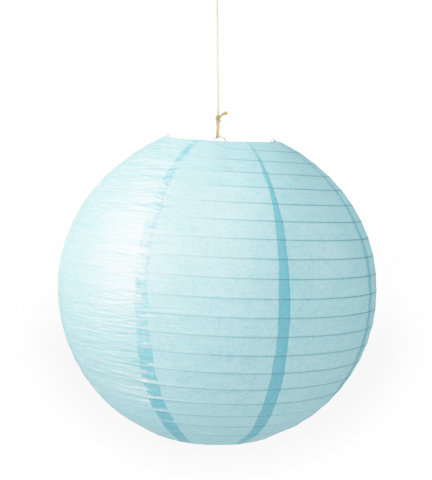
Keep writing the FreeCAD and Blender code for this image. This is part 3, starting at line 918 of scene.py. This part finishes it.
def tube(path, radius, sides):
    """Vertices and faces of a round tube along a path, with domed ends."""
    path = np.asarray(path, float)
    count = len(path)
    tangent, normal, binormal = frames_along(path)
    radii = np.broadcast_to(np.asarray(radius, float), (count,))
    angle = (np.arange(sides) * 2 * math.pi / sides)[None, :, None]
    rings = path[:, None, :] + radii[:, None, None] * (
        np.cos(angle) * normal[:, None, :] + np.sin(angle) * binormal[:, None, :])
    verts = [rings.reshape(-1, 3)]
    index = np.arange(count * sides).reshape(count, sides)
    after = np.roll(index, -1, axis=1)
    faces = np.stack([index[:-1], after[:-1], after[1:], index[1:]], -1).reshape(-1, 4).tolist()
    first = count * sides
    for end, sign in ((0, -1), (count - 1, 1)):
        outward = tangent[end] * sign * radii[end]
        shoulder = path[end] + outward * 0.55 + 0.78 * (rings[end] - path[end])
        verts += [shoulder, (path[end] + outward * 0.9)[None, :]]
        for s in range(sides):
            follow = (s + 1) % sides
            quad = [index[end, s], index[end, follow], first + follow, first + s]
            tip = [first + s, first + follow, first + sides]
            faces += [quad[::sign], tip[::sign]]
        first += sides + 1
    return np.concatenate(verts), faces


def resample(path, step):
    """Even points along a polyline, smoothed through a Catmull-Rom spline."""
    path = np.asarray(path, float)
    knots = np.vstack([2 * path[0] - path[1], path, 2 * path[-1] - path[-2]])
    points = []
    for a, b, c, d in zip(knots[:-3], knots[1:-2], knots[2:-1], knots[3:]):
        count = max(2, int(np.linalg.norm(c - b) / step * 4))
        for s in np.arange(count) / count:
            points.append(0.5 * ((2 * b) + (-a + c) * s + (2 * a - 5 * b + 4 * c - d) * s * s
                                 + (-a + 3 * b - 3 * c + d) * s ** 3))
    points.append(knots[-2])
    points = np.array(points)
    travel = arc_lengths(points)
    even = np.linspace(0, travel[-1], max(4, int(travel[-1] / step) + 1))
    return np.stack([np.interp(even, travel, points[:, axis]) for axis in range(3)], -1)


def arc_lengths(points):
    return np.r_[0, np.cumsum(np.linalg.norm(np.diff(points, axis=0), axis=1))]


TWINE_STEP, TWINE_PITCH, TWINE_PLIES = 0.55, 8.5, 3


class TubeMesh:
    """Collects tubes into one mesh, with a per-vertex tone for colour variety."""

    def __init__(self):
        self.verts, self.faces, self.tones, self.count = [], [], [], 0

    def add(self, path, radius, sides, tone=0.0):
        verts, faces = tube(path, radius, sides)
        self.verts.append(verts)
        self.faces += [[k + self.count for k in face] for face in faces]
        self.tones.append(np.full(len(verts), tone))
        self.count += len(verts)

    def twine(self, path, radius, seed, hairs, tone=0.0, flare=0.0):
        """Laid twine with uneven plies and loose fibres, hairs per mm; a flared end is frayed."""
        random = np.random.RandomState(seed)
        path = resample(path, TWINE_STEP)
        travel = arc_lengths(path)
        length = travel[-1]
        tangent, normal, binormal = frames_along(path)

        def uneven(spacing):
            marks = np.arange(0, length + 2 * spacing, spacing)
            return np.interp(travel, marks, random.uniform(-1, 1, len(marks)))

        thick = 1 + 0.10 * uneven(7.0)
        if flare:
            thick = thick * (1 + flare * smooth01((travel - length * 0.45) / (length * 0.55)))
        ply_r = radius * 0.56
        for k in range(TWINE_PLIES):
            angle = (2 * math.pi * (travel / TWINE_PITCH + k / TWINE_PLIES))[:, None]
            offset = ((radius - ply_r * 0.96) * thick)[:, None]
            ply = path + offset * (np.cos(angle) * normal + np.sin(angle) * binormal)
            self.add(ply, ply_r * thick * (1 + 0.10 * uneven(3.0)), 9,
                     tone=tone + random.uniform(-0.35, 0.35))
        s = np.linspace(0, 1, 6)[:, None]
        for _ in range(int(hairs * length)):
            i = random.randint(2, len(path) - 2)
            angle = random.uniform(0, 2 * math.pi)
            out = math.cos(angle) * normal[i] + math.sin(angle) * binormal[i]
            side = np.cross(tangent[i], out)
            along = random.choice([-1, 1]) * random.uniform(0.5, 1.6)
            reach = random.uniform(0.7, 2.3) * (1.7 if random.rand() < 0.12 else 1.0)
            curl = side * random.uniform(-0.8, 0.8) + out * random.uniform(-0.2, 0.45)
            hair = path[i] + out * radius * 0.86 + reach * (
                s * (tangent[i] * along + out * 0.55) + s * s * curl)
            self.add(hair, np.linspace(0.055, 0.028, 6), 4, tone=random.uniform(0.1, 0.9))
        if flare:
            for _ in range(26):
                angle = random.uniform(0, 2 * math.pi)
                spread = radius * thick[-1] * math.sqrt(random.rand()) * 0.95
                out = math.cos(angle) * normal[-1] + math.sin(angle) * binormal[-1]
                base = path[-1] + spread * out - tangent[-1] * 0.8
                reach = random.uniform(1.0, 2.6)
                curl = out * random.uniform(0.0, 0.5) + binormal[-1] * random.uniform(-0.3, 0.3)
                self.add(base + reach * (s * tangent[-1] + s * s * curl),
                         np.linspace(0.14, 0.06, 6), 5, tone=random.uniform(-0.2, 0.8))

    def build(self, name, material):
        return mesh_object(name, np.concatenate(self.verts) * MM, self.faces, material,
                           {"tone": np.concatenate(self.tones)})

    def build_jute(self, name, body, part):
        """Twine is drawn in (x, y, distance up the twine from the hump)."""
        self.verts = [HUMP + verts[:, 0:1] * ACROSS_X + verts[:, 1:2] * ACROSS_Y
                      + verts[:, 2:3] * UP for verts in self.verts]
        obj = self.build(name, JUTE)
        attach(obj, body)
        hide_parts(part)


# ---------------------------------------------------------------- spiral rib
def rib_points():
    turns = np.arange(RIB_FROM - RIB_LAP, RIB_TO + RIB_LAP, 1 / 150.0)
    t = t_of_u(turns)
    r, height = on_shade(t, RIB_INSET)
    end_height = RING_H - (RING_WIRE + RIB_RING_GAP)
    r = blend_ends(turns, r, RING_R, RING_R)
    height = blend_ends(turns, height, end_height, -end_height)
    phi = RIB_PHI0 + 360 * turns
    out = 0.45 * swell(sheet_x(phi), sheet_y(t))      # follows the swell of the paper
    r = r + out * np.cos(np.radians(t))
    height = height + out * np.sin(np.radians(t))
    angle = np.radians(phi)
    return np.stack([r * np.cos(angle), r * np.sin(angle), Z_MID + height], -1)


rib_tube = TubeMesh()
rib_tube.add(rib_points(), RIB_WIRE, 6)
fit_collapsing(rib_tube.build("spiral_rib_wire", RING_COAT), "spiral_rib")

# ---------------------------------------------------------------- rings and expander
HUMP_UP, HUMP_SIDE = 2.0, 1.8        # how far the yoke's hump is bent up and towards +X
HUMP_REACH = 22.0
yoke_lo, yoke_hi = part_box("expander_yoke")
YOKE_WIRE = (yoke_hi.y - yoke_lo.y) / 2 / MM


def yoke_piece():
    """The yoke's wire, with its hump bent further up and to one side than the plain arc."""
    source = frame["nodes"]["expander_yoke"].data
    verts = np.empty(len(source.vertices) * 3)
    source.vertices.foreach_get("co", verts)
    verts = verts.reshape(-1, 3)
    near = np.abs(verts[:, 0] / MM - HUMP[0]) < HUMP_REACH
    arm = float(verts[near, 2].min()) / MM + YOKE_WIRE
    weight = smooth01((verts[:, 2] / MM - arm - 0.9) / (HUMP[2] - arm - 2.0)) * near
    verts[:, 2] += HUMP_UP * MM * weight
    verts[:, 0] += HUMP_SIDE * MM * weight
    obj = mesh_object("expander_wire", verts, [tuple(p.vertices) for p in source.polygons], STEEL)
    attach(obj, "head")
    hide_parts("expander_yoke")


yoke_piece()
# these CAD wires keep their shape and get a finish
for name, material in (("top_ring", RING_COAT), ("bottom_ring", RING_COAT),
                       ("left_leg", STEEL), ("right_leg", STEEL)):
    mesh = frame["nodes"][name].data
    mesh.materials.clear()
    mesh.materials.append(material)
    shade_smooth(mesh)

# ---------------------------------------------------------------- twine pieces
TWINE_R = 1.1
BEND_R = YOKE_WIRE + TWINE_R + 0.22  # turn of the twine round the yoke's wire
# places along the twine, measured from the hump
TIE_S = float(np.linalg.norm(TIE - HUMP))
LOOP_S = float(np.linalg.norm(LOOP - HUMP))
KNOT = TIE_S - 6.6
HANG_S = LOOP_S + 36.7


def wraps(centre, turns, start, radius, bulge, height, lean=0.0, count=34):
    """Turns of cord round the twine from angle start, leaning towards x on the way up."""
    points = []
    for s in np.linspace(0, 1, count):
        angle = math.radians(start + 360.0 * turns * s)
        r = radius + bulge * math.sin(math.pi * s)
        points.append((r * math.cos(angle) + lean * (s - 0.5), r * math.sin(angle),
                       centre + height * (s - 0.5)))
    return points


def tie_piece():
    cord = TubeMesh()
    # two strands and the turn under the hump
    turn = [(-0.9 - 0.5 * math.cos(a), BEND_R * math.cos(a), HUMP_UP - 0.9 * BEND_R * math.sin(a))
            for a in np.radians(np.linspace(0, 180, 13))]
    plus_y = [(-1.4, BEND_R, HUMP_UP + 2.2), (-1.3, 1.5, 8.2), (-1.35, 0.9, 12),
              (-1.45, 0.8, KNOT - 6), (-0.8, 0.9, KNOT - 1)]
    minus_y = [(-0.4, -BEND_R, HUMP_UP + 2.2), (-0.1, -1.5, 8.2), (0.2, -0.9, 12),
               (0.35, -0.9, KNOT - 6), (0.3, -1.0, KNOT - 1)]
    cord.twine(plus_y[::-1] + turn + minus_y, radius=1.66, seed=21, hairs=1.6, tone=-0.75)
    # one loose half hitch round the pair, then the knot
    hitch = wraps(KNOT - 8.4, turns=0.9, start=150, radius=1.9, bulge=0.2, height=2.6, count=16)
    cord.twine([(0.9, 0.6, KNOT - 9.5)] + hitch + [(-0.9, -0.3, KNOT - 6.6)],
               radius=0.75, seed=26, hairs=1.2, tone=-0.1)
    upper = wraps(KNOT + 0.2, turns=1.55, start=-75, radius=2.6, bulge=0.45, height=7.0, lean=-1.3)
    cord.twine(upper + [(0.6, 0.6, KNOT + 4.9)], radius=1.45, seed=22, hairs=1.9, tone=-0.8)
    lower = wraps(KNOT - 0.2, turns=-0.56, start=205, radius=2.95, bulge=0.35, height=-6.4,
                  lean=-0.9, count=18)
    cord.twine([(-1.7, 0.8, KNOT + 4.2)] + lower + [(0.0, 0.2, KNOT - 4.4)],
               radius=1.35, seed=23, hairs=1.5, tone=-1.1)
    # the loop of the knot that stands out to one side
    cord.twine([(0.2, -1.9, KNOT + 4.6), (-1.7, -2.3, KNOT + 4.6), (-3.1, -1.9, KNOT + 2.6),
                (-3.2, -1.2, KNOT + 0.2), (-2.2, -0.8, KNOT - 2.4), (-1.0, -0.6, KNOT - 4.4)],
               radius=1.35, seed=27, hairs=1.7, tone=-0.5)
    # standing part leaving the top
    cord.twine([(0.1, 0.1, KNOT - 1), (0, 0, KNOT + 3), (0, 0, TIE_S - 0.9)],
               radius=1.25, seed=24, hairs=0.8)
    # frayed tail
    cord.twine([(0.6, -1.6, KNOT + 0.4), (1.6, -1.6, KNOT + 2.6), (3.7, -1.3, KNOT + 4.4),
                (6.3, -0.8, KNOT + 6.0), (8.9, -0.3, KNOT + 7.2), (11.4, 0.0, KNOT + 7.3)],
               radius=1.75, seed=25, hairs=2.4, tone=-0.8, flare=0.75)
    cord.build_jute("jute_tie", "tie", "twine_tie")


def strand_piece():
    cord = TubeMesh()
    random = np.random.RandomState(3)
    points = []
    for z in np.linspace(TIE_S, LOOP_S, 26):
        sway = math.sin(math.pi * (z - TIE_S) / (LOOP_S - TIE_S)) ** 0.5
        points.append((0.28 * random.uniform(-1, 1) * sway,
                       0.28 * random.uniform(-1, 1) * sway, z))
    cord.twine(points, radius=1.95, seed=31, hairs=1.8, tone=0.1)
    # a slub: a short lap of fibre round the strand with a loose end
    slub_z = 149.3
    points = []
    for s in np.linspace(0, 1, 22):
        angle = math.radians(110 + 520 * s)
        bulge = math.sin(math.pi * s)
        r = 1.35 + 0.35 * bulge
        points.append((r * math.cos(angle) - 0.25 * bulge, r * math.sin(angle),
                       slub_z - 2.2 + 4.6 * s))
    cord.twine(points, radius=0.6, seed=32, hairs=2.2, tone=-0.1)
    # two smaller laps lower down
    for z, seed in ((52.0, 33), (36.6, 34)):
        points = [(0.8 * math.cos(angle) - 0.25, 0.8 * math.sin(angle), z + 0.5 * angle)
                  for angle in np.linspace(-2.2, 3.0, 12)]
        cord.twine(points, radius=0.6, seed=seed, hairs=2.2, tone=-0.3)
    cord.build_jute("jute_strand", "twine", "hanging_twine")


def loop_piece():
    cord = TubeMesh()
    inner_r = 7.0
    loop_r = inner_r + TWINE_R
    knot = HANG_S - 31.0
    neck = HANG_S - 16.5
    points = [(0.8, 0.3, knot - 3.0), (1.0, 0.3, knot), (2.0, 0.2, knot + 5), (4.6, 0, neck)]
    for angle in np.radians(np.linspace(-10, 190, 21)):
        points.append((loop_r * math.cos(angle), 0.0,
                       HANG_S - inner_r + loop_r * math.sin(angle)))
    points += [(-4.6, 0, neck), (-2.0, -0.2, knot + 5), (-1.0, -0.3, knot),
               (-0.8, -0.3, knot - 3.0)]
    cord.twine(points, radius=TWINE_R, seed=41, hairs=1.1, tone=0.1)
    cord.twine(wraps(knot - 0.1, turns=1.55, start=40, radius=2.05, bulge=0.3, height=5.8,
                     count=28), radius=1.0, seed=42, hairs=1.6, tone=-0.05)
    cord.twine([(0, 0, knot + 1), (0, 0, knot - 3), (0, 0, LOOP_S)],
               radius=1.0, seed=43, hairs=0.6, tone=0.1)
    cord.twine([(-0.3, 0.8, knot - 0.5), (-1.6, 1.6, knot + 1.6), (-3.4, 2.0, knot + 2.6),
                (-5.0, 1.8, knot + 2.2)], radius=0.9, seed=44, hairs=2.0, flare=0.5)
    cord.build_jute("jute_loop", "hook_loop", "hanging_loop")


tie_piece()
strand_piece()
loop_piece()


# ---------------------------------------------------------------- stage: pale sweep
def backdrop_material():
    """Overexposed as seen by the camera, with a painted soft shadow low down round the lantern and
    painted brighter light towards the top.
    """
    # the glow is laid out over the camera's window, stretched to these spans
    window_span = (432.0, 576.0, 0.0)
    # a painted soft shadow round the lantern's lower part, and painted brighter light towards the
    # top
    shadow_centre = (222.0, 198.0, 0.0)
    shadow_edge = (158.0, 222.0)        # distance from the centre: dim inside, full outside
    brighter_top_edge = (156.0, 240.0)      # height over which the extra glow comes in
    shader = Shader("pale_backdrop")
    diffuse = shader.node("BsdfDiffuse", {"Color": (0.72, 0.72, 0.72, 1)})
    camera_ray = shader.node("LightPath").outputs["Is Camera Ray"]
    window = shader.node("TexCoord").outputs["Window"]
    place = shader.node("VectorMath", {0: window, 1: window_span}, operation="MULTIPLY").outputs[0]
    distance = shader.node("VectorMath", {0: place, 1: shadow_centre}, operation="DISTANCE")
    # far: 0 inside the painted shadow, 1 outside it
    far = shader.ramp(distance.outputs["Value"], span=shadow_edge, kind="LINEAR")
    height = shader.node("SeparateXYZ", {0: place}).outputs["Y"]
    # upper: the painted brighter light towards the top
    upper = shader.ramp(height, span=brighter_top_edge, to=(0.0, 1.3))
    least_glow = 1.64
    glow = shader.plus(shader.times(shader.times(far, far), by=3.3), least_glow)
    glow = shader.plus(glow, upper)
    emission = shader.node("Emission", {"Color": (1, 1, 1, 1),
                                        "Strength": shader.times(glow, camera_ray)})
    return shader.finish(shader.node("AddShader", {0: diffuse.outputs[0],
                                                   1: emission.outputs[0]}))


def sweep():
    """One smooth sheet, in metres: floor in front, curving up to a backdrop behind."""
    floor = (Z_BOT - 190.0) * MM
    bend_start, bend_r, wall_height, half_width = -1.2, 1.6, 6.0, 7.0
    profile = [(toward, floor) for toward in (4.0, 2.0, 0.0, bend_start)]
    for angle in np.radians(np.linspace(0, 90, 16)[1:]):
        profile.append((bend_start - bend_r * math.sin(angle),
                        floor + bend_r * (1 - math.cos(angle))))
    profile.append((bend_start - bend_r, floor + wall_height))
    verts = [FRONT * toward + RIGHT * side + np.array([0, 0, z])
             for side in (-half_width, half_width) for toward, z in profile]
    count = len(profile)
    faces = [(k, k + 1, count + k + 1, count + k) for k in range(count - 1)]
    mesh_object("backdrop_sweep", verts, faces, backdrop_material())


sweep()

# ---------------------------------------------------------------- camera, in metres
CAM_DISTANCE, CAM_UP, CAM_LEFT = 1.364, 0.1499, 0.0061
CAM_ROLL = math.radians(1.8)
camera_data = bpy.data.cameras.new("camera")
camera = bpy.data.objects.new("camera", camera_data)
bpy.context.scene.collection.objects.link(camera)
camera.location = Vector((CAM_DISTANCE * FRONT[0], CAM_DISTANCE * FRONT[1],
                          Z_MID * MM + CAM_UP)) - Vector(RIGHT) * CAM_LEFT
view = Vector((-FRONT[0], -FRONT[1], 0))
camera.rotation_mode = "QUATERNION"
camera.rotation_quaternion = Quaternion(view, -CAM_ROLL) @ view.to_track_quat("-Z", "Y")
camera_data.sensor_fit = "AUTO"
camera_data.sensor_width = 36.0
camera_data.lens = 80.9175
camera_data.shift_y = -0.15125
camera_data.clip_end = 50
scene = bpy.context.scene
scene.camera = camera

# ---------------------------------------------------------------- light
AMBIENT, SEEN_WHITE = 0.79, 5.5      # world strength for lighting, and as the camera sees it
world = bpy.data.worlds.new("studio")
scene.world = world
world.use_nodes = True
nodes, links = world.node_tree.nodes, world.node_tree.links
background = nodes["Background"]
background.inputs[0].default_value = (1.0, 1.0, 1.0, 1)
light_path = nodes.new("ShaderNodeLightPath")
strength_mix = nodes.new("ShaderNodeMix")
strength_mix.data_type = "FLOAT"
strength_mix.inputs[2].default_value = AMBIENT
strength_mix.inputs[3].default_value = SEEN_WHITE
links.new(light_path.outputs["Is Camera Ray"], strength_mix.inputs[0])
links.new(strength_mix.outputs[0], background.inputs[1])


def area(name, azimuth, elevation, size, power, distance=2.2, aim=0.0, spread=180.0):
    """A soft panel aimed at the shade; azimuth is from the front, positive to the right."""
    light = bpy.data.lights.new(name, "AREA")
    light.shape = "SQUARE"
    light.size = size
    light.energy = power
    light.spread = math.radians(spread)
    obj = bpy.data.objects.new(name, light)
    scene.collection.objects.link(obj)
    phi, up = math.radians(CAM_PHI + azimuth), math.radians(elevation)
    target = Vector((0, 0, Z_MID * MM + aim))
    obj.location = target + Vector((math.cos(phi) * math.cos(up), math.sin(phi) * math.cos(up),
                                    math.sin(up))) * distance
    obj.rotation_mode = "QUATERNION"
    obj.rotation_quaternion = (target - obj.location).to_track_quat("-Z", "Y")


area("key", azimuth=-72, elevation=24, size=1.2, power=66)
area("front_fill", azimuth=2, elevation=16, size=1.4, power=27)
area("front_top", azimuth=5, elevation=60, size=1.4, power=31)
# a window's worth of light on the upper left, cut off about level with the middle of the shade
area("window", azimuth=-66, elevation=16, size=0.40, power=1.60, distance=2.0, aim=0.13,
     spread=12.0)
area("right_fill", azimuth=78, elevation=22, size=1.4, power=9.5)

# ---------------------------------------------------------------- tone and render settings
scene.view_settings.view_transform = "Standard"
scene.view_settings.look = "None"
# a photographic shoulder: linear light x becomes 1 - exp(-x)
WHITE = 6.0
SHOULDER = (0.08, 0.18, 0.3, 0.45, 0.62, 0.82, 1.05, 1.32, 1.65, 2.05, 2.55, 3.2, 4.0, 5.0)
curves = scene.view_settings.curve_mapping
scene.view_settings.use_curve_mapping = True
curves.white_level = (WHITE, WHITE, WHITE)
for channel in range(3):
    curve = curves.curves[channel]
    curve.points[0].location = (0.0, 0.0)
    curve.points[-1].location = (1.0, 1.0 - math.exp(-WHITE))
    for x in SHOULDER:
        curve.points.new(x / WHITE, 1.0 - math.exp(-x))
curves.update()
scene.cycles.use_denoising = True
scene.cycles.max_bounces = 16
scene.cycles.diffuse_bounces = 6
scene.cycles.transmission_bounces = 12
